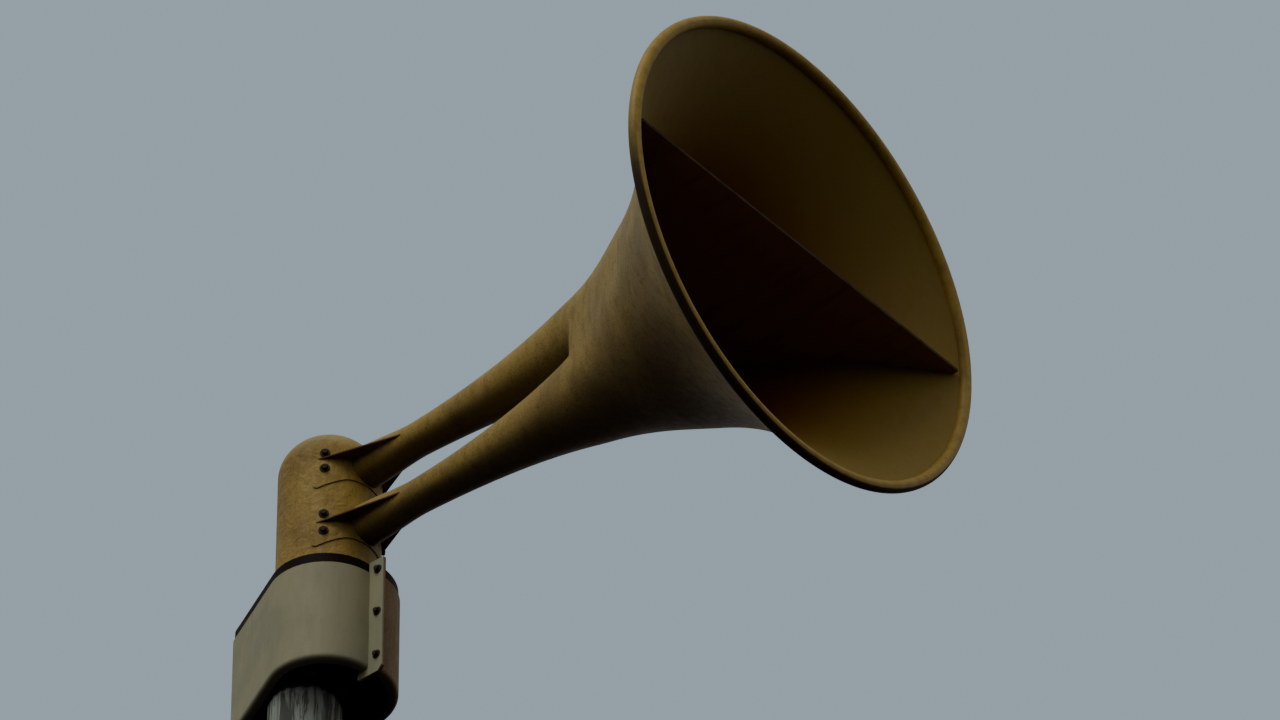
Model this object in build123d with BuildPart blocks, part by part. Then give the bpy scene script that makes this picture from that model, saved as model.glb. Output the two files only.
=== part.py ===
"""Rotating outdoor warning siren on a wooden pole.

The origin is the centre of the pole at ground level and +Z is up. The head
turns about the pole's axis, and its horn points along +X at rest. All lengths
are in millimetres.
"""

from build123d import *
from math import asin, cos, cosh, exp, radians, sin, sinh
import os

# Pole
POLE_HEIGHT = 13050.0
POLE_FOOT_DIAMETER = 300.0
POLE_TOP_DIAMETER = 190.0
POLE_TOP_CHAMFER = 4.0

# Mount on the pole top
BASE_PLATE_DIAMETER = 174.0
BASE_PLATE_THICKNESS = 12.0
MACHINED_EDGE = 2.0
SPINDLE_DIAMETER = 70.0
COLLAR_DIAMETER = 120.0
COLLAR_HEIGHT = 18.0
SPINDLE_ENGAGEMENT = 62.0

# Turning frame between the spindle and the deck
RUNNING_GAP = 0.3
GEARBOX_LENGTH = 170.0
GEARBOX_WIDTH = 150.0
GEARBOX_HEIGHT = 84.0
GEARBOX_CORNER = 20.0
TURNTABLE_THICKNESS = 10.0
CHEEK_GAP = 176.0
CHEEK_THICKNESS = 8.0
CHEEK_WIDTH = 100.0
CHEEK_HEIGHT = 205.0
GEARMOTOR_DIAMETER = 96.0
GEARMOTOR_HEIGHT = 150.0
GEARMOTOR_BEHIND = 112.0
GEARMOTOR_EDGE = 6.0

# Deck that carries the siren, and the motor that hangs under it
DECK_THICKNESS = 12.0
DECK_RIM_HEIGHT = 45.0
DECK_RIM_THICKNESS = 8.0
MOTOR_DIAMETER = 160.0
MOTOR_LENGTH = 150.0
MOTOR_EDGE = 12.0

# Machinery cover in two halves that meet on the horn's plane
HEAD_OFFSET = 68.0
COVER_RADIUS = 153.0
COVER_FAR_RADIUS = 169.0
COVER_FAR_SHIFT = 26.0
COVER_REACH = 318.0
COVER_NOSE_RADIUS = 30.0
COVER_HEIGHT = 305.0
COVER_WALL = 4.0
COVER_LIP = 24.0
COVER_LIP_RADIUS = 16.0
COVER_LAP = 14.0
COVER_FIT = 0.3
SEAM_FLANGE = 46.0
SEAM_FLANGE_THICKNESS = 5.0
SEAM_TAIL = 20.0
SEAM_TAIL_INSET = 36.0
SEAM_CORNER = 14.0

# Chopper housing on the deck
HOUSING_RADIUS = 134.0
HOUSING_HEIGHT = 344.0
DOME_RISE = 117.0
HORN_ABOVE_DECK = 234.0
PAD_THICKNESS = 3.0
PAD_HALF_ANGLE = 66.0
PAD_ABOVE = 50.0
PAD_BELOW = 70.0
PAD_CORNER = 20.0
PORT_DEPTH = 60.0
GUSSET_THICKNESS = 7.0
GUSSET_TIP_ANGLE = 60.0
GUSSET_REACH = 250.0

# Horn, measured from the housing's axis
MOUTH_DIAMETER = 1300.0
HORN_LENGTH = 1611.0
THROAT_RADIUS = 46.0
THROAT_SPACING = 188.0
THROAT_DROP = 6.0
THROAT_END = 312.0
THROAT_FLARE_LENGTH = 434.0
THROAT_SHAPE = 0.29
MERGE_START = 854.0
MERGE_END = 1430.0
MERGED_SPACING = 1.0
FOLD_START = 880.0
FOLD_HALF_WIDTH = 60.0
FOLD_INSET = 1.0
BELL_START = 950.0
BELL_BLEND_START = 907.0
BELL_BLEND_END = 1204.0
BELL_FLARE_LENGTH = 458.0
PORT_HALF_HEIGHT = 60.0
PORT_HALF_WIDTH = 52.0
HORN_WALL = 6.0
RIM_BEAD = 32.0
SPLITTER_THICKNESS = 8.0
SPLITTER_HALF_WIDTH = 605.0

# Heights that follow from the sizes above
POLE_TOP = POLE_HEIGHT
BASE_TOP = POLE_TOP + BASE_PLATE_THICKNESS
COLLAR_TOP = BASE_TOP + COLLAR_HEIGHT
GEARBOX_FOOT = COLLAR_TOP + RUNNING_GAP
GEARBOX_TOP = GEARBOX_FOOT + GEARBOX_HEIGHT
TURNTABLE_TOP = GEARBOX_TOP + TURNTABLE_THICKNESS
DECK_UNDERSIDE = TURNTABLE_TOP + CHEEK_HEIGHT
DECK_TOP = DECK_UNDERSIDE + DECK_THICKNESS
HORN_Z = DECK_TOP + HORN_ABOVE_DECK
COVER_TOP = DECK_TOP - DECK_RIM_HEIGHT + COVER_LAP
COVER_FOOT = COVER_TOP - COVER_HEIGHT

os.makedirs("parts", exist_ok=True)


def save(builder, name):
    """Label a finished piece and write it under its own name."""
    builder.part.label = name
    export_step(builder.part, f"parts/{name}.step")


# Upright plane on which the two halves of the cover meet
SEAM_PLANE = Plane(origin=(HEAD_OFFSET, 0, 0), x_dir=(1, 0, 0), z_dir=(0, -1, 0))


def head_plane(z):
    """Horizontal plane at height z with its origin on the housing's axis."""
    return Plane(origin=(HEAD_OFFSET, 0, z))


def station(x, z=0.0):
    """Upright plane across the horn, x ahead of the housing's axis.

    The plane's own x points up and its origin lies z above the horn's axis.
    """
    return Plane(origin=(HEAD_OFFSET + x, 0, HORN_Z + z), x_dir=(0, 0, 1), z_dir=(1, 0, 0))


def ease(x, start, end):
    """Smooth step from 0 at start to 1 at end."""
    t = min(max((x - start) / (end - start), 0.0), 1.0)
    return t * t * (3.0 - 2.0 * t)


# Horn form: both throats are rows of round sections that grow by a hyperbolic
# law. The bell's sections are ovals around both centres. They grow by an
# exponential law while the centres draw together, so the mouth is round.

MOUTH_RADIUS = MOUTH_DIAMETER / 2 - RIM_BEAD / 2
BELL_END = HORN_LENGTH - RIM_BEAD / 2


def throat_radius(x):
    """Outer radius of one throat at station x."""
    u = max(x - THROAT_END, 0.0) / THROAT_FLARE_LENGTH
    return THROAT_RADIUS * (cosh(u) + THROAT_SHAPE * sinh(u))


def bell_radius(x):
    """Outer radius of the whole bell at station x."""
    return MOUTH_RADIUS * exp((x - BELL_END) / BELL_FLARE_LENGTH)


def section(x):
    """Height of centre above the horn's axis, and outer radius, at station x."""
    merged = ease(x, MERGE_START, MERGE_END)
    spacing = THROAT_SPACING * (1.0 - merged) + MERGED_SPACING * merged
    share = ease(x, BELL_BLEND_START, BELL_BLEND_END)
    radius = throat_radius(x) * (1.0 - share) + bell_radius(x) * share
    return spacing / 2, radius


def drop(x):
    """How far both throats hang below the horn's axis at station x."""
    return THROAT_DROP * (1.0 - ease(x, THROAT_END, FOLD_START))


def rows(start, end, count):
    """Evenly spaced stations after start, up to and including end."""
    return [start + (end - start) * (i + 1) / count for i in range(count)]


PORT_INNER_END = HOUSING_RADIUS - PORT_DEPTH
THROAT_STATIONS = [PORT_INNER_END]
THROAT_STATIONS += rows(PORT_INNER_END, THROAT_END, 6)
THROAT_STATIONS += rows(THROAT_END, BELL_START, 8)
BELL_STATIONS = [BELL_START]
BELL_STATIONS += rows(BELL_START, BELL_END, 14)


def throat_form(side, wall):
    """Solid form of one round throat up to the bell, drawn wall inside its outer face."""
    with BuildPart() as form:
        for x in THROAT_STATIONS:
            centre, radius = section(x)
            port = 1.0 - ease(x, HOUSING_RADIUS, THROAT_END)
            height = radius + (PORT_HALF_HEIGHT - THROAT_RADIUS) * port
            width = radius + (PORT_HALF_WIDTH - THROAT_RADIUS) * port
            with BuildSketch(station(x, side * centre - drop(x))):
                Ellipse(height - wall, width - wall)
        loft()
    return form.part


def fold_block(wall):
    """Block that fills the groove between both throats and widens to the bell's flank."""
    with BuildPart() as form:
        centre, radius = section(FOLD_START)
        with BuildSketch(station(FOLD_START)):
            Rectangle(2 * centre, 2 * (FOLD_HALF_WIDTH - wall))
        centre, radius = section(BELL_START)
        with BuildSketch(station(BELL_START)):
            Rectangle(2 * centre, 2 * (radius - wall - FOLD_INSET))
        loft()
    return form.part


def bell_form(wall):
    """Solid form of the bell, drawn wall inside its outer face."""
    with BuildPart() as form:
        for x in BELL_STATIONS:
            centre, radius = section(x)
            with BuildSketch(station(x)):
                SlotCenterToCenter(2 * centre, 2 * (radius - wall))
        loft()
    return form.part


def half_block(side, inset, foot, height, edge=0.0):
    """Block over the cover's plan on one side of the seam, inset from its face."""
    radius = COVER_FAR_RADIUS if side > 0 else COVER_RADIUS
    shift = COVER_FAR_SHIFT if side > 0 else 0.0
    with BuildPart() as block:
        with BuildSketch(head_plane(foot)):
            with Locations((0, shift)):
                Circle(radius - inset)
            with Locations((COVER_NOSE_RADIUS - COVER_REACH, 0)):
                Circle(COVER_NOSE_RADIUS - inset)
            make_hull()
        extrude(amount=height)
        if edge > 0:
            fillet(block.edges().group_by(Axis.Z)[0], edge)
        split(bisect_by=Plane.XZ, keep=Keep.BOTTOM if side > 0 else Keep.TOP)
    return block.part


def housing_form(grow):
    """The domed housing as a solid of revolution, grown outward by grow."""
    radius = HOUSING_RADIUS + grow
    rise = DOME_RISE + grow
    with BuildPart() as form:
        with BuildSketch(Plane(origin=(HEAD_OFFSET, 0, DECK_TOP), x_dir=(-1, 0, 0), z_dir=(0, 1, 0))):
            with BuildLine():
                foot = Line((0, 0), (radius, 0))
                side = Line(foot @ 1, (radius, HOUSING_HEIGHT))
                dome = EllipticalCenterArc((0, HOUSING_HEIGHT), radius, rise, arc_size=90)
                Line(dome @ 1, foot @ 0)
            make_face()
        revolve(axis=Axis((HEAD_OFFSET, 0, 0), (0, 0, 1)))
    return form.part


# Pole, a round timber that tapers to the top
with BuildPart() as pole:
    with BuildSketch():
        Circle(POLE_FOOT_DIAMETER / 2)
    with BuildSketch(Plane.XY.offset(POLE_HEIGHT)):
        Circle(POLE_TOP_DIAMETER / 2)
    loft()
    chamfer(pole.faces().sort_by(Axis.Z)[-1].edges(), POLE_TOP_CHAMFER)
save(pole, "pole")

# Base plate that lies on the end grain
with BuildPart() as base_plate:
    with BuildSketch(Plane.XY.offset(POLE_TOP)):
        Circle(BASE_PLATE_DIAMETER / 2)
    extrude(amount=BASE_PLATE_THICKNESS)
    chamfer(base_plate.faces().sort_by(Axis.Z)[-1].edges(), MACHINED_EDGE)
save(base_plate, "base_plate")

# Spindle with the collar that takes the head's weight
with BuildPart() as spindle:
    with BuildSketch(Plane.XY.offset(BASE_TOP)):
        Circle(COLLAR_DIAMETER / 2)
    extrude(amount=COLLAR_HEIGHT)
    with BuildSketch(Plane.XY.offset(COLLAR_TOP)):
        Circle(SPINDLE_DIAMETER / 2)
    extrude(amount=SPINDLE_ENGAGEMENT)
    chamfer(spindle.faces().sort_by(Axis.Z)[-1].edges(), MACHINED_EDGE)
save(spindle, "spindle")

# Rotator gearbox, which turns on the spindle
with BuildPart() as rotator_gearbox:
    with BuildSketch(Plane.XY.offset(GEARBOX_FOOT)):
        RectangleRounded(GEARBOX_LENGTH, GEARBOX_WIDTH, GEARBOX_CORNER)
    extrude(amount=GEARBOX_HEIGHT)
    with BuildSketch(Plane.XY.offset(GEARBOX_FOOT)):
        Circle(SPINDLE_DIAMETER / 2 + RUNNING_GAP)
    extrude(amount=SPINDLE_ENGAGEMENT, mode=Mode.SUBTRACT)
save(rotator_gearbox, "rotator_gearbox")

# Turntable plate on the gearbox, drawn out to the rear for the gearmotor
with BuildPart() as turntable:
    with BuildSketch(Plane.XY.offset(GEARBOX_TOP)):
        Rectangle(CHEEK_WIDTH, CHEEK_GAP + 2 * CHEEK_THICKNESS)
        with Locations((-GEARMOTOR_BEHIND, 0)):
            Circle(GEARMOTOR_DIAMETER / 2 + GEARMOTOR_EDGE)
        make_hull()
    extrude(amount=TURNTABLE_THICKNESS)
save(turntable, "turntable")

# Gearmotor that stands on the turntable behind the pole's axis
with BuildPart() as gearmotor:
    with BuildSketch(Plane((-GEARMOTOR_BEHIND, 0, TURNTABLE_TOP))):
        Circle(GEARMOTOR_DIAMETER / 2)
    extrude(amount=GEARMOTOR_HEIGHT)
    fillet(gearmotor.faces().sort_by(Axis.Z)[-1].edges(), GEARMOTOR_EDGE)
save(gearmotor, "gearmotor")

# Cheek plates that carry the deck
for name, side in (("cheek_near", -1), ("cheek_far", 1)):
    middle = side * (CHEEK_GAP + CHEEK_THICKNESS) / 2
    with BuildPart() as cheek:
        with BuildSketch(Plane((0, middle, TURNTABLE_TOP))):
            Rectangle(CHEEK_WIDTH, CHEEK_THICKNESS)
        extrude(amount=CHEEK_HEIGHT)
    save(cheek, name)

# Deck plate with a turned-down rim
with BuildPart() as deck_plate:
    rim_inset = COVER_WALL + COVER_FIT
    for side in (-1, 1):
        add(half_block(side, rim_inset, DECK_TOP - DECK_RIM_HEIGHT, DECK_RIM_HEIGHT))
    for side in (-1, 1):
        hollow = rim_inset + DECK_RIM_THICKNESS
        below = DECK_TOP - 2 * DECK_RIM_HEIGHT
        add(half_block(side, hollow, below, DECK_UNDERSIDE - below), mode=Mode.SUBTRACT)
save(deck_plate, "deck_plate")

# Siren motor, hung under the deck on the housing's axis
with BuildPart() as siren_motor:
    with BuildSketch(head_plane(DECK_UNDERSIDE - MOTOR_LENGTH)):
        Circle(MOTOR_DIAMETER / 2)
    extrude(amount=MOTOR_LENGTH)
    fillet(siren_motor.faces().sort_by(Axis.Z)[0].edges(), MOTOR_EDGE)
save(siren_motor, "siren_motor")

# Machinery cover: a wall, an inward lip below and a bolting flange in front
for name, side in (("cover_near", -1), ("cover_far", 1)):
    front_wall = COVER_RADIUS
    if side > 0:
        front_wall = COVER_FAR_RADIUS * cos(asin(COVER_FAR_SHIFT / COVER_FAR_RADIUS))
    front = COVER_RADIUS + SEAM_FLANGE
    tail = COVER_RADIUS - SEAM_TAIL_INSET
    with BuildPart() as cover:
        add(half_block(side, 0, COVER_FOOT, COVER_HEIGHT, COVER_LIP_RADIUS))
        cavity_edge = COVER_LIP_RADIUS - COVER_WALL
        cavity_foot = COVER_FOOT + COVER_WALL
        add(half_block(side, COVER_WALL, cavity_foot, COVER_HEIGHT, cavity_edge), mode=Mode.SUBTRACT)
        add(half_block(side, COVER_LIP, COVER_FOOT - COVER_WALL, 3 * COVER_WALL), mode=Mode.SUBTRACT)
        with BuildSketch(SEAM_PLANE):
            with BuildLine():
                Polyline(
                    (tail, cavity_foot),
                    (tail, COVER_FOOT - SEAM_TAIL),
                    (front - SEAM_CORNER, COVER_FOOT - SEAM_TAIL),
                    (front, COVER_FOOT - SEAM_TAIL + SEAM_CORNER),
                    (front, DECK_TOP),
                    (front_wall - COVER_WALL / 2, DECK_TOP),
                    (front_wall - COVER_WALL / 2, cavity_foot),
                    close=True,
                )
            make_face()
        extrude(amount=-side * SEAM_FLANGE_THICKNESS)
    save(cover, name)

# Throats in full, outside and bore
upper_form = throat_form(1, 0)
upper_bore = throat_form(1, HORN_WALL)
lower_form = throat_form(-1, 0)
lower_bore = throat_form(-1, HORN_WALL)
fold_outside = fold_block(0)
fold_bore = fold_block(HORN_WALL)

# Chopper housing with its dome and the two blind ports
with BuildPart() as chopper_housing:
    add(housing_form(0))
    for side in (-1, 1):
        with BuildSketch(station(PORT_INNER_END, side * THROAT_SPACING / 2 - THROAT_DROP)):
            Ellipse(PORT_HALF_HEIGHT - HORN_WALL, PORT_HALF_WIDTH - HORN_WALL)
        extrude(amount=HOUSING_RADIUS, mode=Mode.SUBTRACT)
save(chopper_housing, "chopper_housing")

housing_solid = housing_form(0)
pad_solid = housing_form(PAD_THICKNESS)

# Pads that bolt each throat to the housing
PAD_HALF_WIDTH = (HOUSING_RADIUS + PAD_THICKNESS) * sin(radians(PAD_HALF_ANGLE))
for name, side, bore in (("upper_pad", 1, upper_bore), ("lower_pad", -1, lower_bore)):
    middle = side * THROAT_SPACING / 2 - THROAT_DROP + (PAD_ABOVE - PAD_BELOW) / 2
    with BuildPart() as pad:
        with BuildSketch(station(0, middle)):
            RectangleRounded(PAD_ABOVE + PAD_BELOW, 2 * PAD_HALF_WIDTH, PAD_CORNER)
        extrude(amount=2 * HOUSING_RADIUS)
        add(pad_solid, mode=Mode.INTERSECT)
        add(housing_solid, mode=Mode.SUBTRACT)
        add(bore, mode=Mode.SUBTRACT)
    save(pad, name)

# Throats, from the pads to where the bell starts
for name, side, form, bore in (
    ("upper_throat", 1, upper_form, upper_bore),
    ("lower_throat", -1, lower_form, lower_bore),
):
    keep = Keep.TOP if side > 0 else Keep.BOTTOM
    with BuildPart() as web_bore:
        add(bore)
        add(fold_bore)
        split(bisect_by=Plane.XY.offset(HORN_Z + side * SPLITTER_THICKNESS / 2), keep=keep)
    with BuildPart() as throat:
        add(form)
        add(fold_outside)
        split(bisect_by=Plane.XY.offset(HORN_Z), keep=keep)
        add(pad_solid, mode=Mode.SUBTRACT)
        add(web_bore.part, mode=Mode.SUBTRACT)
    save(throat, name)

# Gussets beside each throat
tip_angle = radians(GUSSET_TIP_ANGLE)
tip_radius = HOUSING_RADIUS + PAD_THICKNESS
for level, height, form in (("upper", 1, upper_form), ("lower", -1, lower_form)):
    middle = HORN_Z + height * THROAT_SPACING / 2 - THROAT_DROP
    for hand, side in (("near", -1), ("far", 1)):
        with BuildPart() as gusset:
            with BuildSketch(head_plane(middle - GUSSET_THICKNESS / 2)):
                with BuildLine():
                    Polyline(
                        (0, 0),
                        (tip_radius * cos(tip_angle), side * tip_radius * sin(tip_angle)),
                        (GUSSET_REACH, side * (THROAT_RADIUS - HORN_WALL / 2)),
                        (GUSSET_REACH, 0),
                        close=True,
                    )
                make_face()
            extrude(amount=GUSSET_THICKNESS)
            add(form, mode=Mode.SUBTRACT)
            add(pad_solid, mode=Mode.SUBTRACT)
        save(gusset, f"{level}_gusset_{hand}")

# Bell, hollow from the throats to the mouth
bell_bore = bell_form(HORN_WALL)
with BuildPart() as bell:
    add(bell_form(0))
    add(bell_bore, mode=Mode.SUBTRACT)
save(bell, "bell")

# Rolled rim around the mouth
with BuildPart() as mouth_rim:
    with BuildSketch(Plane.XZ):
        with Locations((HEAD_OFFSET + BELL_END, HORN_Z + MOUTH_RADIUS)):
            Circle(RIM_BEAD / 2)
    revolve(axis=Axis((0, 0, HORN_Z), (1, 0, 0)))
    add(bell.part, mode=Mode.SUBTRACT)
save(mouth_rim, "mouth_rim")

# Splitter, the flat plate that parts the two half horns
with BuildPart() as splitter:
    with BuildSketch(head_plane(HORN_Z - SPLITTER_THICKNESS / 2)):
        with BuildLine():
            Polyline(
                (BELL_START, -SPLITTER_HALF_WIDTH),
                (BELL_END, -SPLITTER_HALF_WIDTH),
                (BELL_END, SPLITTER_HALF_WIDTH),
                (BELL_START, SPLITTER_HALF_WIDTH),
                close=True,
            )
        make_face()
    extrude(amount=SPLITTER_THICKNESS)
    add(bell_bore, mode=Mode.INTERSECT)
save(splitter, "splitter")
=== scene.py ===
"""Looks of a rotating outdoor warning siren on a wooden pole.

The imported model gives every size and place. Lengths are metres, +Z is up, the
origin is the centre of the pole at ground level and the horn points along +X.
"""

import math
from functools import partial

import bmesh
import bpy
import numpy as np
from bpy.props import FloatProperty, FloatVectorProperty, IntProperty, PointerProperty
from mathutils import Matrix, Vector


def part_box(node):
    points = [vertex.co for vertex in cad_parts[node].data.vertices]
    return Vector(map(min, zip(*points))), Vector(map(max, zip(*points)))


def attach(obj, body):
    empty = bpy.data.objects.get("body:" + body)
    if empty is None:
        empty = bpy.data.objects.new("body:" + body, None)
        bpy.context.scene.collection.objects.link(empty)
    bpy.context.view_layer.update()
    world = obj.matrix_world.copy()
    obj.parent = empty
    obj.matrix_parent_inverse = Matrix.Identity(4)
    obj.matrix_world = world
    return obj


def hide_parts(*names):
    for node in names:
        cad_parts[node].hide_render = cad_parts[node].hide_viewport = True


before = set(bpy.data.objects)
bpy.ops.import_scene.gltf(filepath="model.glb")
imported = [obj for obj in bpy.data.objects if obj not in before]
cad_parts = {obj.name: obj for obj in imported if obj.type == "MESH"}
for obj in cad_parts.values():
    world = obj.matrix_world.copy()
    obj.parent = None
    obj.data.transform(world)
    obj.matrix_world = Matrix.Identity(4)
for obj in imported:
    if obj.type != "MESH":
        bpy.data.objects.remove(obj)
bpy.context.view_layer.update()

bl_info = {
    "name": "Warning siren looks",
    "version": (1, 0, 0),
    "blender": (4, 5, 0),
    "location": "3D View > Sidebar > Siren",
    "description": "Weathered horn, cover, fixings and timber pole of a rotating warning siren",
    "category": "Object",
}

MM = 0.001

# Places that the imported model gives
HOUSING_LOW, HOUSING_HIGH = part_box("chopper_housing")
_, PAD_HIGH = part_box("upper_pad")
RIM_LOW, RIM_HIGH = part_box("mouth_rim")
BELL_LOW, BELL_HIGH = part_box("bell")
POLE_LOW, POLE_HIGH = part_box("pole")
PLATE_LOW, PLATE_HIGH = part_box("base_plate")
SPINDLE_LOW, SPINDLE_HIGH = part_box("spindle")
MOTOR_LOW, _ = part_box("siren_motor")
SPLITTER_LOW, SPLITTER_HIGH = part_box("splitter")
HEAD_X = (HOUSING_LOW.x + HOUSING_HIGH.x) / 2
HOUSING_RADIUS = (HOUSING_HIGH.x - HOUSING_LOW.x) / 2
PAD_RADIUS = PAD_HIGH.x - HEAD_X
HORN_Z = (RIM_LOW.z + RIM_HIGH.z) / 2
BELL_START = BELL_LOW.x - HEAD_X
BELL_END = BELL_HIGH.x - HEAD_X
MOUTH_RADIUS = (RIM_HIGH.z - RIM_LOW.z) / 2 - (RIM_HIGH.x - RIM_LOW.x) / 2

# How far a moulding or a gusset reaches into the pad that carries it
SEAT = 8 * MM

# Height above the horn's axis at which the centres of the two half horns have met
CENTRES_MET = 0.5 * MM

# Stretch at the splitter's root that stays level
SPLITTER_ROOT = 20 * MM

# Columns of a throat from bottom to top: the flat web, its flank, and the free arc up to 1
WEB_SHARE, FLANK_SHARE = 0.12, 0.45

# Columns of the bell between which its flank is straight
BELL_FLANK = (0.46, 0.54)

# Right half of a pad's edge on the unrolled housing, across and up from the throat, in mm
PAD_EDGE = (
    (0, 64), (136, 64), (146, 61), (155, 53), (158, 44), (158, -86), (154, -97), (144, -101),
    (82, -74), (66, -68), (48, -65), (0, -64),
)

# Heights of the bolts and screws about the horn's axis, in mm, as the photo shows them
PAD_BOLT_LEVELS = (98, 49, -99, -153)
FLANGE_SCREW_LEVELS = (-267, -401, -537)

# Distance of a flange's face from the middle plane, and of the motor's screws from its axis
FLANGE_FACE = 5 * MM
MOTOR_SCREW_CIRCLE = 54 * MM

# Pole top: its bevel, the height that chips, the wood's margin beyond the base plate, and
# the stretch with the finest rings, which the photo shows
TOP_BEVEL = 4 * MM
CHIPPED_HEIGHT = 40 * MM
PLATE_MARGIN = 8 * MM
FINE_HEIGHT = 1.2

# Drying checks: shortest and longest one, and how many radians its line drifts to each side
CHECK_REACH = (0.6, 2.6)
CHECK_DRIFT = 0.05

# Where along X the skin of the horn turns chalky, and where the inside of the bell turns red-brown
# as painted shade
CHALK_START, CHALK_END = 0.75, 1.50
DEEP_SHADE_START, DEEP_SHADE_END = 1.60, 1.25

# Camera and key light
CAMERA_PLACE = (10.738, -11.196, 1.597)
CAMERA_RIGHT = (0.7549, 0.6558, -0.0074)
CAMERA_AHEAD = (-0.5057, 0.5892, 0.6302)
CAMERA_LENS = 213.75
KEY_PLACE = (1.6, -9.0, 24.5)
KEY_AIM = (0.6, 0.0, 13.6)


def linear(hex_colour):
    """Linear red, green and blue of an sRGB hex colour."""
    values = [int(hex_colour[i:i + 2], 16) / 255 for i in (1, 3, 5)]
    return tuple(v / 12.92 if v <= 0.04045 else ((v + 0.055) / 1.055) ** 2.4 for v in values)


def length(name, description, default):
    """A length that the user can change, in metres."""
    return FloatProperty(
        name=name, description=description, default=default, min=0.0, unit="LENGTH", precision=4,
    )


def turn_of(name, description, degrees):
    """An angle that the user can change, given in degrees."""
    return FloatProperty(
        name=name, description=description, default=math.radians(degrees), subtype="ANGLE",
    )


def colour(name, description, hex_colour):
    """A colour that the user can change, given as sRGB hex."""
    return FloatVectorProperty(
        name=name, description=description, subtype="COLOR", size=3, min=0.0, max=1.0,
        default=linear(hex_colour),
    )


class SirenHornSizes(bpy.types.PropertyGroup):
    """Law of the horn: two throats that widen and run together into one bell."""

    wall: length("Wall", "Thickness of the moulded wall", 6 * MM)
    web: length("Web", "Half thickness of the web between the two sound paths", 4 * MM)
    throat_radius: length("Throat radius", "Outer radius where a throat leaves its pad", 46 * MM)
    throat_spacing: length("Throat spacing", "Height between the centres at the housing", 188 * MM)
    throat_drop: length("Throat drop", "How far both throats hang below the horn's axis", 6 * MM)
    throat_end: length("Flare start", "How far ahead of the housing's axis it starts", 312 * MM)
    throat_flare: length("Throat flare", "Length over which a throat widens", 434 * MM)
    throat_shape: FloatProperty(
        name="Throat shape", description="Share of the sine term in the flare", default=0.29,
    )
    merge_start: length("Merge start", "Where the centres start to draw together", 854 * MM)
    merge_end: length("Merge end", "Where the centres have met", 1430 * MM)
    fold_start: length("Fold start", "Where the groove between the throats ends", 880 * MM)
    fold_half_width: length("Fold half width", "Half width where the groove ends", 60 * MM)
    fold_soft: length("Fold softness", "Rounding of the fold beside each throat", 16 * MM)
    blend_start: length("Blend start", "Where the throats start to become the bell", 907 * MM)
    blend_end: length("Blend end", "Where the bell's own law holds", 1204 * MM)
    bell_flare: length("Bell flare", "Length over which the bell widens by e", 458 * MM)
    splitter_lift: length("Splitter lift", "Height of its front above the horn's axis", 19 * MM)
    splitter_roll: turn_of("Splitter roll", "Turn of its front edge, near side up", 2.4)
    dome_rise: length("Dome rise", "Height of the housing's dome", 117 * MM)
    gusset_reach: length("Gusset reach", "How far ahead of the housing's axis it ends", 290 * MM)
    upper_tip_drop: length("Upper tip drop", "How far it lies below the throat's centre", 8 * MM)
    lower_tip_drop: length("Lower tip drop", "How far it lies below the throat's centre", 26 * MM)
    gusset_thickness: length("Gusset thickness", "Thickness of a gusset", 4 * MM)
    gusset_angle: turn_of("Gusset angle", "Angle of its tip beside the horn's plane", 60)
    port_half_height: length("Port half height", "Half height of the port at the housing", 60 * MM)
    port_half_width: length("Port half width", "Half width of the port at the housing", 52 * MM)


class SirenFixingSizes(bpy.types.PropertyGroup):
    """Bolts and screws that hold the siren together."""

    pad_bolt: length("Pad bolt", "Across the flats of a bolt through a pad", 14 * MM)
    pad_bolt_angle: turn_of("Pad bolt angle", "Their angle beside the horn's plane", 52)
    flange_screw: length("Flange screw", "Across the flats of a cover flange screw", 13 * MM)
    flange_reach: length("Flange reach", "How far ahead of the housing's axis they sit", 181 * MM)
    base_screw: length("Base screw", "Across the flats of a lag screw in the base plate", 14 * MM)
    motor_screw: length("Motor screw", "Across the flats of a screw in the motor's end", 10 * MM)


class SirenPoleSizes(bpy.types.PropertyGroup):
    """Weathered surface of the timber pole."""

    checks: IntProperty(name="Checks", description="Drying cracks in the pole", default=44, min=0)
    check_width: length("Check width", "Half width of a drying crack", 1.9 * MM)
    check_depth: length("Check depth", "Depth of a drying crack", 7 * MM)
    ripple: length("Ripple", "Height of the shallow waves in the timber", 0.9 * MM)
    chip: length("Chip", "How far the broken top edge reaches down", 14 * MM)


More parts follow.
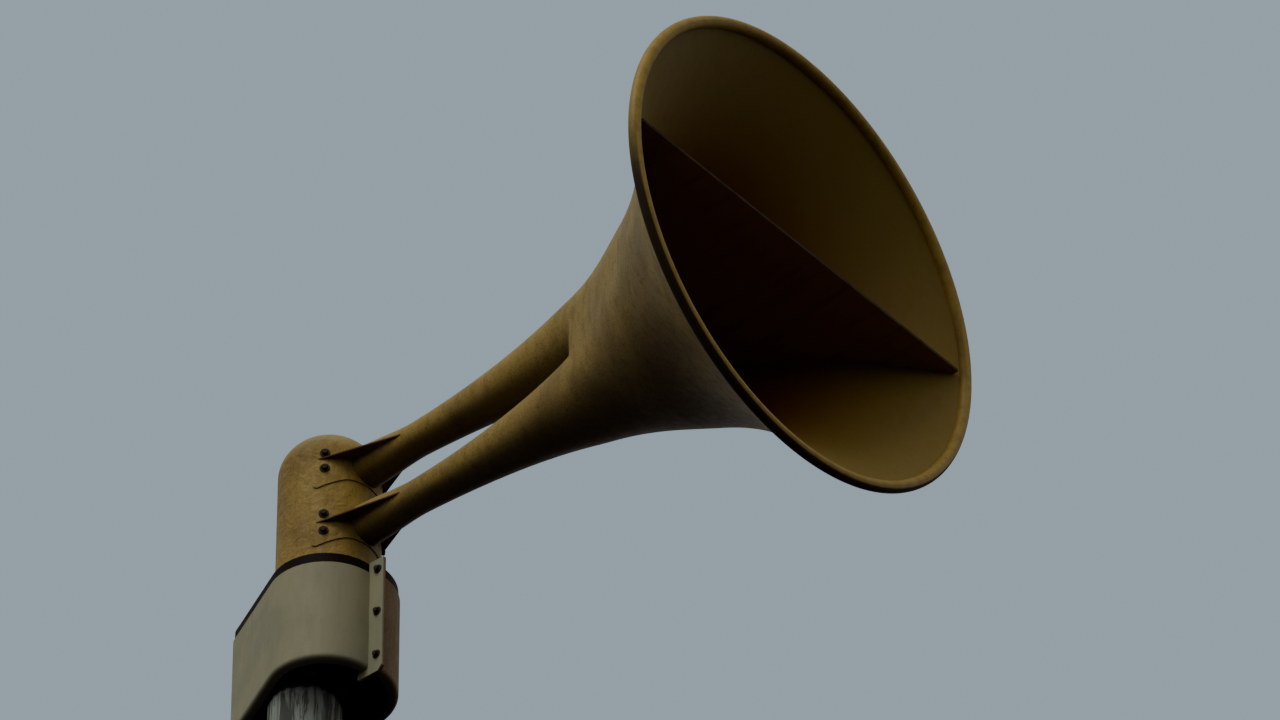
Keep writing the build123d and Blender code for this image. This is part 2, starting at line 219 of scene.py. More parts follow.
class SirenColours(bpy.types.PropertyGroup):
    """Finish colours, picked for plain daylight."""

    gelcoat: colour("Gelcoat", "Weathered ochre of the horn and housing", "#B1923E")
    gelcoat_brown: colour("Gelcoat, brown", "Where the pigment has darkened", "#77581E")
    gelcoat_chalk: colour("Gelcoat, chalked", "Where sun has chalked the surface", "#A8A47A")
    # Partly painted shade: the inside's own unweathered yellow-brown, laid darker to stand in for
    # the shade in the mouth
    gelcoat_inside_shade: colour("Gelcoat, inside", "Sheltered yellow-brown inside the mouth", "#866D18")
    # Painted shade: red-brown that darkens the bell's inside toward the throats
    gelcoat_deep_shade: colour("Gelcoat, deep", "Red-brown far inside the bell", "#6E2F0B")
    # Partly painted shade: its own brown laid darker for the plate that lies in the bell's shade
    splitter: colour("Splitter", "Sheltered brown of the splitter plate", "#905F24")
    # Painted shade, not dirt: dark maroon-brown standing in for the shade under the near gussets
    gusset: colour("Gusset", "Dirty maroon-brown of the near gussets", "#5C3A1C")
    # Painted shade, not dirt: maroon laid where faces look down and on the rim's lower back
    gelcoat_under_shade: colour("Gelcoat, under", "Maroon dirt where rain never washes", "#2C120B")
    cover: colour("Cover", "Beige-grey of the near cover half", "#AAA887")
    cover_stain: colour("Cover, stained", "Grey film on the near cover half", "#7F8578")
    cover_far: colour("Far cover", "Brown-ochre of the far cover half", "#8C6633")
    # Partly painted shade: red-brown primer laid nearly black for the deck's shaded underside
    primer: colour("Primer", "Dark red-brown primer on the deck", "#170706")
    enamel: colour("Enamel", "Dark grey enamel on the machines", "#3E4245")
    zinc: colour("Zinc", "Dull hot-dip zinc", "#9A9C9B")
    bolt: colour("Bolt", "Rusted steel of the fixings", "#3A2A22")
    timber: colour("Timber", "Silver-grey weathered wood", "#AEB6AF")
    timber_dark: colour("Timber, dark", "Dark grain and checks", "#4A4B45")
    algae: colour("Algae", "Green film on the damp side of the pole", "#5F6A4C")
    floor: colour("Floor", "Pale studio floor", "#D5D6D4")
    backdrop: colour("Backdrop", "Plain pale backdrop", "#A9BBC9")


class SirenSettings(bpy.types.PropertyGroup):
    """All that the panel shows."""

    horn: PointerProperty(type=SirenHornSizes)
    fixings: PointerProperty(type=SirenFixingSizes)
    pole: PointerProperty(type=SirenPoleSizes)
    colours: PointerProperty(type=SirenColours)


def settings():
    """The scene's siren settings."""
    return bpy.context.scene.siren_settings


# Numbered sockets of a map range, whose value from START to END gives LEAST to MOST (0 to 1
# where not set), and of a colour mix
VALUE, START, END, LEAST, MOST = range(5)
SHARE, UNDER, OVER = 0, 6, 7

# Settings of a map range that eases in and out, and of a mix that takes colours
SOFT = {"interpolation_type": "SMOOTHSTEP"}
COLOURS = {"out": 2, "data_type": "RGBA"}


def add_node(tree, kind, inputs=None, out=0, **values):
    """Add a node, set its values, set or link each input, and return the socket out."""
    node = tree.nodes.new("ShaderNode" + kind)
    for name, value in values.items():
        setattr(node, name, value)
    for name, value in (inputs or {}).items():
        if isinstance(value, bpy.types.NodeSocket):
            tree.links.new(value, node.inputs[name])
        else:
            node.inputs[name].default_value = value
    return node.outputs[out] if len(node.outputs) else node


def new_material(name):
    """A node material, add_node for its tree, and its object coordinates."""
    material = bpy.data.materials.new(name)
    material.use_nodes = True
    material.node_tree.nodes.clear()
    add = partial(add_node, material.node_tree)
    return material, add, add("TexCoord", out="Object")


def cells(width):
    """Scale of a texture whose features are this many mm wide."""
    return 1 / (width * MM)


def rgba(value, shade=1.0):
    """A colour times shade, as the four numbers of a socket."""
    return (value[0] * shade, value[1] * shade, value[2] * shade, 1.0)


def weathered_gelcoat(name, base, dark, mottling=1.0, wrinkle=0.9 * MM):
    """Polyester gelcoat on glass fibre, moulded and long in the sun.

    It gives the eye a satin skin with soft brown mottling a hand wide, pale
    chalk where it looks up and toward the mouth, painted shade in maroon where
    it looks down, thin runs, and the faint print of the fibres. The print is 5 mm
    wide, coarser than the real one, so that it shows. Where the attribute inside
    is 1 the skin is a darker yellow-brown, partly its own colour and partly
    painted shade, that turns red-brown farther in as painted shade.
    mottling scales the brown stains, and wrinkle is how high the skin's waves are.
    """
    colours = settings().colours
    chalk = rgba(colours.gelcoat_chalk)
    material, add, where = new_material(name)
    normal = add("TexCoord", out="Normal")
    upward = add("SeparateXYZ", {"Vector": normal}, out="Z")
    ahead = add("SeparateXYZ", {"Vector": where}, out="X")
    down = add("Mapping", {"Vector": where, "Scale": (1.0, 1.0, 0.10)})
    upright = add("Mapping", {"Vector": where, "Scale": (1.0, 1.0, 0.3)})
    broad = add("TexNoise", {
        "Vector": where, "Scale": cells(210), "Detail": 5.0, "Distortion": 0.5,
    })
    small = add("TexNoise", {
        "Vector": upright, "Scale": cells(22), "Detail": 7.0, "Roughness": 0.72,
    })
    runs = add("TexNoise", {"Vector": down, "Scale": cells(20), "Detail": 5.0, "Roughness": 0.65})
    fibre = add("TexNoise", {"Vector": upright, "Scale": cells(5), "Detail": 3.0, "Roughness": 0.7})
    grit = add("TexNoise", {"Vector": where, "Scale": cells(4.5), "Detail": 3.0, "Roughness": 0.7})
    mottle = add("MapRange", {
        VALUE: broad, START: 0.42, END: 0.68, MOST: 0.60 * mottling ** 0.5,
    }, **SOFT)
    blotch = add("MapRange", {
        VALUE: small, START: 0.48, END: 0.70, MOST: 0.46 * mottling ** 2,
    }, **SOFT)
    streak = add("MapRange", {VALUE: runs, START: 0.52, END: 0.75, MOST: 0.32 * mottling}, **SOFT)
    bloom = add("MapRange", {VALUE: upward, START: 0.0, END: 0.9, MOST: 0.7}, **SOFT)
    near_mouth = add("MapRange", {
        VALUE: ahead, START: CHALK_START, END: CHALK_END, MOST: 0.5,
    }, **SOFT)
    aloft = add("MapRange", {VALUE: upward, START: -0.6, END: 0.1}, **SOFT)
    near_mouth = add("Math", {0: near_mouth, 1: aloft}, operation="MULTIPLY")
    worn = add("MapRange", {VALUE: runs, START: 0.30, END: 0.62, LEAST: 0.35}, **SOFT)
    chalked = add("Math", {0: bloom, 1: near_mouth}, operation="MAXIMUM")
    chalked = add("Math", {0: chalked, 1: worn}, operation="MULTIPLY")
    # Painted shade: maroon laid on faces that look down, strongest where they face straight down
    under = add("MapRange", {VALUE: upward, START: -0.30, END: -0.95, MOST: 0.80}, **SOFT)
    thread = add("MapRange", {VALUE: fibre, START: 0.40, END: 0.70, MOST: 0.16}, **SOFT)
    freckle = add("MapRange", {
        VALUE: grit, START: 0.50, END: 0.66, MOST: 0.50 * mottling ** 2,
    }, **SOFT)
    skin = rgba(base)
    for share, over in (
        (mottle, rgba(dark)), (blotch, rgba(dark, 0.8)), (chalked, chalk),
        (streak, rgba(dark, 0.4)), (thread, chalk), (freckle, rgba(dark, 0.35)),
        (under, rgba(colours.gelcoat_under_shade)),
    ):
        skin = add("Mix", {SHARE: share, UNDER: skin, OVER: over}, **COLOURS)
    sheltered = add("Attribute", out="Fac", attribute_name="inside")
    # Painted shade: the inside turns darker red-brown farther back toward the throats
    deep = add("MapRange", {VALUE: ahead, START: DEEP_SHADE_START, END: DEEP_SHADE_END}, **SOFT)
    shallow, far_in_shade = rgba(colours.gelcoat_inside_shade), rgba(colours.gelcoat_deep_shade)
    shadow = add("Mix", {SHARE: deep, UNDER: shallow, OVER: far_in_shade}, **COLOURS)
    skin = add("Mix", {SHARE: sheltered, UNDER: skin, OVER: shadow}, **COLOURS)
    rough = add("MapRange", {VALUE: small, START: 0.3, END: 0.7, LEAST: 0.50, MOST: 0.74})
    print_bump = add("Bump", {"Height": fibre, "Distance": 0.30 * MM, "Strength": 0.8})
    wave = add("TexNoise", {"Vector": where, "Scale": cells(26), "Detail": 3.0, "Distortion": 0.6})
    bumped = add("Bump", {
        "Height": wave, "Distance": wrinkle, "Strength": 0.6, "Normal": print_bump,
    })
    shader = add("BsdfPrincipled", {
        "Base Color": skin, "Roughness": rough, "Specular IOR Level": 0.4, "Normal": bumped,
    })
    add("OutputMaterial", {"Surface": shader})
    return material


def rim_gelcoat(base, under):
    """Gelcoat of the rolled rim: ochre in front, near-black painted shade under its lower half.

    It gives the eye blotches of 30 mm and a dark line of painted shade round the mouth's lower
    back.
    """
    material, add, where = new_material("rim_gelcoat")
    normal = add("TexCoord", out="Normal")
    upward = add("SeparateXYZ", {"Vector": normal}, out="Z")
    forward = add("SeparateXYZ", {"Vector": normal}, out="X")
    height = add("SeparateXYZ", {"Vector": where}, out="Z")
    cloud = add("TexNoise", {"Vector": where, "Scale": cells(30), "Detail": 6.0, "Roughness": 0.7})
    # Painted shade: where the rim looks down and back below the horn's axis it turns near-black in
    # the colour under
    low = add("MapRange", {VALUE: upward, START: 0.15, END: -0.25}, **SOFT)
    behind = add("MapRange", {VALUE: forward, START: 0.92, END: 0.72, MOST: 0.93}, **SOFT)
    lower = add("MapRange", {VALUE: height, START: HORN_Z + 0.25, END: HORN_Z - 0.05}, **SOFT)
    painted_shade = add("Math", {0: low, 1: behind}, operation="MULTIPLY")
    painted_shade = add("Math", {0: painted_shade, 1: lower}, operation="MULTIPLY")
    blotch = add("MapRange", {VALUE: cloud, START: 0.42, END: 0.70, MOST: 0.5}, **SOFT)
    skin = add("Mix", {SHARE: blotch, UNDER: rgba(base), OVER: rgba(base, 0.45)}, **COLOURS)
    skin = add("Mix", {SHARE: painted_shade, UNDER: skin, OVER: rgba(under, 0.5)}, **COLOURS)
    rough = add("MapRange", {VALUE: painted_shade, LEAST: 0.5, MOST: 0.85})
    bumped = add("Bump", {"Height": cloud, "Distance": 0.5 * MM})
    shader = add("BsdfPrincipled", {
        "Base Color": skin, "Roughness": rough, "Specular IOR Level": 0.3, "Normal": bumped,
    })
    add("OutputMaterial", {"Surface": shader})
    return material


def shaded_gelcoat(name, base):
    """Gelcoat for parts in shade: smooth saturated brown, dim runs 40 mm wide, and a dark front
    edge that is painted shade.
    """
    material, add, where = new_material(name)
    down = add("Mapping", {"Vector": where, "Scale": (0.15, 1.0, 1.0)})
    runs = add("TexNoise", {"Vector": down, "Scale": cells(40), "Detail": 4.0})
    grit = add("TexNoise", {"Vector": where, "Scale": cells(4), "Detail": 2.0})
    dirt = add("MapRange", {VALUE: runs, START: 0.45, END: 0.75, MOST: 0.4}, **SOFT)
    normal = add("TexCoord", out="Normal")
    forward = add("SeparateXYZ", {"Vector": normal}, out="X")
    # Painted shade: faces that look ahead along the horn turn almost black
    edge = add("MapRange", {VALUE: forward, START: 0.4, END: 0.8, MOST: 0.95})
    skin = add("Mix", {SHARE: dirt, UNDER: rgba(base), OVER: rgba(base, 0.4)}, **COLOURS)
    skin = add("Mix", {SHARE: edge, UNDER: skin, OVER: rgba(base, 0.1)}, **COLOURS)
    rough = add("MapRange", {VALUE: dirt, START: 0.0, END: 0.4, LEAST: 0.55, MOST: 0.8})
    bumped = add("Bump", {"Height": grit, "Distance": 0.2 * MM, "Strength": 0.6})
    shader = add("BsdfPrincipled", {
        "Base Color": skin, "Roughness": rough, "Specular IOR Level": 0.15, "Normal": bumped,
    })
    add("OutputMaterial", {"Surface": shader})
    return material


def weathered_primer(base):
    """Red-brown primer sprayed on steel plate, gone dull, with rust freckles under 10 mm."""
    material, add, where = new_material("deck_primer")
    spots = add("TexNoise", {"Vector": where, "Scale": cells(9), "Detail": 5.0, "Roughness": 0.7})
    broad = add("TexNoise", {"Vector": where, "Scale": cells(70), "Detail": 4.0})
    freckle = add("MapRange", {VALUE: spots, START: 0.52, END: 0.68, MOST: 0.5}, **SOFT)
    fade = add("MapRange", {VALUE: broad, START: 0.35, END: 0.70, MOST: 0.6}, **SOFT)
    skin = add("Mix", {SHARE: fade, UNDER: rgba(base), OVER: rgba(base, 0.5)}, **COLOURS)
    skin = add("Mix", {SHARE: freckle, UNDER: skin, OVER: rgba(linear("#53280F"))}, **COLOURS)
    rough = add("MapRange", {VALUE: freckle, START: 0.0, END: 0.5, LEAST: 0.58, MOST: 0.9})
    bumped = add("Bump", {"Height": freckle, "Distance": 0.4 * MM})
    shader = add("BsdfPrincipled", {
        "Base Color": skin, "Roughness": rough, "Specular IOR Level": 0.1, "Normal": bumped,
    })
    add("OutputMaterial", {"Surface": shader})
    return material


def machine_enamel(base):
    """Machine enamel brushed over cast iron, with a 3 mm cast grain and pale road dust."""
    material, add, where = new_material("machine_enamel")
    cloud = add("TexNoise", {"Vector": where, "Scale": cells(35), "Detail": 5.0, "Roughness": 0.65})
    cast = add("TexNoise", {"Vector": where, "Scale": cells(3), "Detail": 2.0})
    dust = add("MapRange", {VALUE: cloud, START: 0.45, END: 0.75, MOST: 0.4}, **SOFT)
    skin = add("Mix", {SHARE: dust, UNDER: rgba(base), OVER: rgba(linear("#6A6457"))}, **COLOURS)
    rough = add("MapRange", {VALUE: dust, START: 0.0, END: 0.4, LEAST: 0.38, MOST: 0.8})
    bumped = add("Bump", {"Height": cast, "Distance": 0.25 * MM})
    shader = add("BsdfPrincipled", {"Base Color": skin, "Roughness": rough, "Normal": bumped})
    add("OutputMaterial", {"Surface": shader})
    return material


def dull_zinc(base):
    """Hot-dip zinc on steel: grey spangle 14 mm across, gone matt, with a white bloom."""
    material, add, where = new_material("dull_zinc")
    cell = add("TexVoronoi", {"Vector": where, "Scale": cells(14)}, out="Color")
    spangle = add("SeparateColor", {"Color": cell})
    cloud = add("TexNoise", {"Vector": where, "Scale": cells(50), "Detail": 4.0, "Roughness": 0.65})
    pits = add("TexNoise", {"Vector": where, "Scale": cells(6), "Detail": 3.0})
    facet = add("MapRange", {VALUE: spangle, MOST: 0.35})
    bloom = add("MapRange", {VALUE: cloud, START: 0.48, END: 0.72, MOST: 0.5}, **SOFT)
    skin = add("Mix", {SHARE: facet, UNDER: rgba(base), OVER: rgba(base, 0.6)}, **COLOURS)
    skin = add("Mix", {SHARE: bloom, UNDER: skin, OVER: rgba(linear("#B4B3AC"))}, **COLOURS)
    rough = add("MapRange", {VALUE: spangle, LEAST: 0.42, MOST: 0.62})
    bumped = add("Bump", {"Height": pits, "Distance": 0.2 * MM})
    shader = add("BsdfPrincipled", {
        "Base Color": skin, "Metallic": 0.85, "Roughness": rough, "Normal": bumped,
    })
    add("OutputMaterial", {"Surface": shader})
    return material


def rusted_steel(base):
    """Plain steel fixings under a brown rust skin, with darker pits of about 2 mm."""
    material, add, where = new_material("rusted_steel")
    spots = add("TexNoise", {"Vector": where, "Scale": cells(2.5), "Detail": 4.0, "Roughness": 0.7})
    pits = add("MapRange", {VALUE: spots, START: 0.4, END: 0.7, MOST: 0.7}, **SOFT)
    skin = add("Mix", {SHARE: pits, UNDER: rgba(base), OVER: rgba(base, 0.35)}, **COLOURS)
    bumped = add("Bump", {"Height": pits, "Distance": 0.2 * MM})
    shader = add("BsdfPrincipled", {
        "Base Color": skin, "Metallic": 0.25, "Roughness": 0.75, "Normal": bumped,
    })
    add("OutputMaterial", {"Surface": shader})
    return material


def weathered_timber(base, dark, algae):
    """Round pine pole, peeled and pressure treated, left silver-grey by rain and sun.

    It gives the eye long fine grain 4 mm wide, dark lines in the checks, brown
    remains of the treatment near the ground and a green film on the damp side.
    """
    material, add, where = new_material("weathered_timber")
    height = add("SeparateXYZ", {"Vector": where}, out="Z")
    side = add("SeparateXYZ", {"Vector": where}, out="Y")
    long_grain = add("Mapping", {"Vector": where, "Scale": (1.0, 1.0, 0.02)})
    grain = add("TexNoise", {
        "Vector": long_grain, "Scale": cells(4), "Detail": 5.0, "Roughness": 0.65,
        "Distortion": 0.2,
    })
    long_bands = add("Mapping", {"Vector": where, "Scale": (1.0, 1.0, 0.10)})
    bands = add("TexNoise", {
        "Vector": long_bands, "Scale": cells(22), "Detail": 8.0, "Roughness": 0.70,
        "Distortion": 0.4,
    })
    crack = add("Attribute", out="Fac", attribute_name="check")
    line = add("MapRange", {VALUE: grain, START: 0.42, END: 0.70, MOST: 0.6}, **SOFT)
    darker = add("MapRange", {VALUE: bands, START: 0.45, END: 0.56, MOST: 0.88}, **SOFT)
    patch = add("MapRange", {VALUE: bands, START: 0.30, END: 0.60}, **SOFT)
    low = add("MapRange", {VALUE: height, START: 4.0, END: 0.4, MOST: 0.7}, **SOFT)
    damp = add("MapRange", {VALUE: side, START: 0.0, END: 0.10, MOST: 0.7}, **SOFT)
    treated = add("Math", {0: low, 1: patch}, operation="MULTIPLY")
    film = add("Math", {0: damp, 1: patch}, operation="MULTIPLY")
    open_check = add("MapRange", {VALUE: crack, START: 0.08, END: 0.7}, **SOFT)
    skin = rgba(base)
    for share, over in (
        (line, rgba(base, 0.5)), (darker, rgba(dark)), (treated, rgba(linear("#4B3A28"))),
        (film, rgba(algae)), (open_check, rgba(dark, 0.3)),
    ):
        skin = add("Mix", {SHARE: share, UNDER: skin, OVER: over}, **COLOURS)
    bumped = add("Bump", {"Height": grain, "Distance": 1.2 * MM})
    shader = add("BsdfPrincipled", {"Base Color": skin, "Roughness": 0.9, "Normal": bumped})
    add("OutputMaterial", {"Surface": shader})
    return material


def studio_floor(base):
    """Matt painted studio floor, see-through from below so that the head shows from there."""
    material, add, where = new_material("studio_floor")
    cloud = add("TexNoise", {"Vector": where, "Scale": cells(600), "Detail": 3.0})
    skin = add("Mix", {SHARE: cloud, UNDER: rgba(base), OVER: rgba(base, 0.94)}, **COLOURS)
    top = add("BsdfPrincipled", {"Base Color": skin, "Roughness": 0.85})
    under = add("BsdfTransparent")
    back = add("NewGeometry", out="Backfacing")
    both = add("MixShader", {0: back, 1: top, 2: under})
    add("OutputMaterial", {"Surface": both})
    return material


def joined(*stretches):
    """One row of numbers from stretches (start, end, count) that follow on each other."""
    parts = [np.linspace(*stretch) for stretch in stretches]
    return np.concatenate([parts[0], *(part[1:] for part in parts[1:])])


def mirrored(half):
    """Columns from -1 to 1 whose right half is given."""
    return np.concatenate([-half[:0:-1], half])


def grid_of(shape, rows, columns):
    """Points of shape(row, column) on the whole grid of rows by columns."""
    return shape(*np.meshgrid(rows, columns, indexing="ij"))


def build_piece(name, grids, material, body, slot, replaced=(), fields=None, sharp=32.0):
    """Join grids of points into one closed mesh on a body.

    Each grid gives one quad for each square of four neighbours. Points in the
    same place become one, the faces are turned outward, and edges sharper than
    sharp degrees stay sharp. fields gives an attribute's value for each point.
    """
    quads, start = [], 0
    for grid in grids:
        index = start + np.arange(grid.shape[0] * grid.shape[1]).reshape(grid.shape[:2])
        here, ahead = index[:-1], index[1:]
        quads.append(np.stack((here[:, :-1], ahead[:, :-1], ahead[:, 1:], here[:, 1:]), axis=-1))
        start += index.size
    points = np.concatenate([grid.reshape(-1, 3) for grid in grids])
    mesh = bpy.data.meshes.new(name)
    mesh.from_pydata(points, [], np.concatenate([q.reshape(-1, 4) for q in quads]).tolist())
    for field, values in (fields or {}).items():
        attribute = mesh.attributes.new(field, "FLOAT", "POINT")
        attribute.data.foreach_set("value", np.resize(values, len(points)).astype(np.float32))
    work = bmesh.new()
    work.from_mesh(mesh)
    bmesh.ops.remove_doubles(work, verts=work.verts, dist=0.02 * MM)
    bmesh.ops.dissolve_degenerate(work, dist=0.01 * MM, edges=work.edges)
    bmesh.ops.recalc_face_normals(work, faces=work.faces)
    work.to_mesh(mesh)
    work.free()
    mesh.polygons.foreach_set("use_smooth", np.ones(len(mesh.polygons), dtype=bool))
    mesh.set_sharp_from_angle(angle=math.radians(sharp))
    piece = bpy.data.objects.new(name, mesh)
    bpy.context.scene.collection.objects.link(piece)
    mesh.materials.append(material)
    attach(piece, body)
    if replaced:
        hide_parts(*replaced)
    return piece


def dress(names, material):
    """Give CAD nodes a material in place of the plain one."""
    for name in names:
        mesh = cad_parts[name].data
        mesh.materials.clear()
        mesh.materials.append(material)


def spoke(angle):
    """Level unit vector at an angle from +X."""
    return Vector((math.cos(angle), math.sin(angle), 0.0))


def ease(x, start, end):
    """Smooth step from 0 at start to 1 at end: 3 t squared minus 2 t cubed."""
    t = np.clip((x - start) / (end - start), 0.0, 1.0)
    return t * t * (3.0 - 2.0 * t)


def horn_section(x):
    """Centre height, radius, port share and drop of a half horn, x ahead of the housing's axis.

    A throat's radius is a hyperbolic cosine plus a share of the sine, and the
    bell's is an exponential. One passes into the other over the blend, and the
    centres draw together on the horn's axis.
    """
    horn = settings().horn
    u = np.maximum(x - horn.throat_end, 0.0) / horn.throat_flare
    throat = horn.throat_radius * (np.cosh(u) + horn.throat_shape * np.sinh(u))
    bell = MOUTH_RADIUS * np.exp((x - BELL_END) / horn.bell_flare)
    share = ease(x, horn.blend_start, horn.blend_end)
    merged = ease(x, horn.merge_start, horn.merge_end)
    centre = horn.throat_spacing / 2 * (1.0 - merged) + CENTRES_MET * merged
    radius = throat * (1.0 - share) + bell * share
    port = 1.0 - ease(x, HOUSING_RADIUS, horn.throat_end)
    fall = horn.throat_drop * (1.0 - ease(x, horn.throat_end, horn.fold_start))
    return centre, radius, port, fall


def throat_skin(side, inset, gap):
    """Closed skin of one throat, inset from its outer face and gap away from the other one.

    Rows run ahead along the horn. Columns run from -1 at the top, down the far
    side to 0 at the bottom, and up the near side to 1. A section is the ellipse
    of the throat; where it would pass the gap it is cut flat, and ahead of the
    fold its flank rises with a quarter sine from the groove to the full radius.
    """
    horn = settings().horn

    def shape(x, column):
        centre, radius, port, fall = horn_section(x)
        centre = centre - side * fall
        height = radius + (horn.port_half_height - horn.throat_radius) * port - inset
        width = radius + (horn.port_half_width - horn.throat_radius) * port - inset
        part = np.abs(column)
        lowest = -np.arcsin(np.clip((centre - gap) / height, 0.0, 1.0))
        rise = np.clip((part - WEB_SHARE) / (FLANK_SHARE - WEB_SHARE), 0.0, 1.0)
        arc = np.pi / 2 * (part - FLANK_SHARE) / (1.0 - FLANK_SHARE)
        angle = np.where(part < FLANK_SHARE, lowest * (1.0 - rise), arc)
        round_y = width * np.cos(angle)
        t = np.clip((x - horn.fold_start) / (BELL_START - horn.fold_start), 0.0, 1.0)
        flank = horn.fold_half_width - inset
        flank = flank + (width - flank) * np.sin(np.pi / 2 * t)
        soft = horn.fold_soft * np.sqrt(t) * (1.0 - t)
        filled = (round_y + flank + np.sqrt((round_y - flank) ** 2 + soft ** 2)) / 2 - soft / 2
        y = np.where((angle < 0.0) & (t > 0.0), np.maximum(filled, round_y), round_y)
        y = y * np.clip(part / WEB_SHARE, 0.0, 1.0) * np.sign(column)
        z = side * (centre + height * np.sin(angle))
        return np.stack([HEAD_X + x, y, HORN_Z + z], axis=-1)
    return shape


def bell_skin(inset):
    """Skin of the bell, inset from its outer face.

    Rows run ahead, columns from -1 at the top round to 1 as on a throat. A
    section is an upper and a lower half circle joined by two short flanks.
    """
    def shape(x, column):
        centre, radius, _, _ = horn_section(x)
        part = np.abs(column)
        knots = (0.0, *BELL_FLANK, 1.0)
        angle = np.interp(part, knots, [-np.pi / 2, 0.0, 0.0, np.pi / 2])
        lift = centre * np.interp(part, knots, [-1.0, -1.0, 1.0, 1.0])
        y = (radius - inset) * np.cos(angle) * np.sign(column)
        z = lift + (radius - inset) * np.sin(angle)
        return np.stack([HEAD_X + x, y, HORN_Z + z], axis=-1)
    return shape


def shell_of(outer, inner):
    """Four grids that close the wall between an outer and an inner skin."""
    return [outer, inner, np.stack([outer[0], inner[0]]), np.stack([outer[-1], inner[-1]])]


def slab_of(low, high):
    """Six grids that close a slab between a low and a high face."""
    sides = [np.stack([low[:, end], high[:, end]]) for end in (0, -1)]
    return [*shell_of(low, high), *sides]


def inside_of(shell):
    """Attribute inside for the points of a shell: 1 on the inner skin and 0 elsewhere."""
    values = [np.full(grid[..., 0].size, float(n == 1)) for n, grid in enumerate(shell)]
    return {"inside": np.concatenate(values)}


def throat_level(side):
    """Height of the upper (1) or lower (-1) throat's centre at the housing."""
    horn = settings().horn
    return HORN_Z + side * horn.throat_spacing / 2 - horn.throat_drop


def pad_skin(side, inset):
    """Skin of the pad of the upper (1) or lower (-1) throat, inset from its outer face.

    Rows run out from the bore to the edge and columns around. The edge is a
    polygon on the unrolled housing whose lower corners reach down, and the face
    is the housing's cylinder and, above it, its dome.
    """
    horn = settings().horn
    right = np.array(PAD_EDGE) * MM
    edge = np.concatenate([right, right[-2::-1] * (-1, 1)])
    run = np.append(0.0, np.cumsum(np.hypot(*np.diff(edge, axis=0).T)))

    def shape(share, column):
        across, up = [np.interp(column * run[-1], run, edge[:, k]) for k in (0, 1)]
        wide, high = horn.port_half_width - horn.wall, horn.port_half_height - horn.wall
        turn = np.arctan2(up / high, across / wide)
        across = wide * np.cos(turn) * (1.0 - share) + across * share
        up = high * np.sin(turn) * (1.0 - share) + up * share
        z = throat_level(side) + up
        above = np.maximum(z - HOUSING_HIGH.z + horn.dome_rise, 0.0) / horn.dome_rise
        radius = PAD_RADIUS * np.sqrt(1.0 - above ** 2) - inset
        angle = across / PAD_RADIUS
        return np.stack([HEAD_X + radius * np.cos(angle), radius * np.sin(angle), z], axis=-1)
    return shape


def gusset_skin(side):
    """Six grids of the flat gusset on the near side of the upper (1) or lower (-1) throat.

    Rows run ahead and columns out from the throat's flank to a straight edge,
    from the tip on the pad to where the flank meets it.
    """
    horn = settings().horn
    share = np.linspace(0.0, 1.0, 41)[:, None]
    tip = PAD_RADIUS * spoke(horn.gusset_angle)
    root = PAD_RADIUS - SEAT + (horn.gusset_reach - PAD_RADIUS + SEAT) * share
    _, radius, port, _ = horn_section(root)
    flank = radius + (horn.port_half_width - horn.throat_radius) * port - horn.wall / 2
    out = np.linspace(0.0, 1.0, 5)[None, :]
    end_y = flank[-1, 0] + horn.wall / 2
    x = root + (tip.x + (horn.gusset_reach - tip.x) * share - root) * out
    y = flank + (tip.y + (end_y - tip.y) * share - flank) * out
    drop = horn.upper_tip_drop if side > 0 else horn.lower_tip_drop
    level = throat_level(side) - drop * out * (1.0 - share)
    lift = horn.gusset_thickness / 2
    return slab_of(*(np.stack([HEAD_X + x, -y, level + up], axis=-1) for up in (-lift, lift)))


def splitter_skin():
    """Six grids of the plate across the bell, twisted from level at its root to its roll.

    Rows run ahead and columns across, from wall to wall of the bell.
    """
    horn = settings().horn
    ahead = np.linspace(SPLITTER_LOW.x, SPLITTER_HIGH.x, 61)
    x, across = np.meshgrid(ahead, np.linspace(-1.0, 1.0, 33), indexing="ij")
    _, radius, _, _ = horn_section(x - HEAD_X)
    y = np.minimum(radius - horn.wall / 2, SPLITTER_HIGH.y) * across
    share = ease(x, SPLITTER_LOW.x + SPLITTER_ROOT, SPLITTER_HIGH.x)
    level = HORN_Z + share * (horn.splitter_lift - y * math.tan(horn.splitter_roll))
    lift = (SPLITTER_HIGH.z - SPLITTER_LOW.z) / 2
    return slab_of(*(np.stack([x, y, level + up], axis=-1) for up in (-lift, lift)))


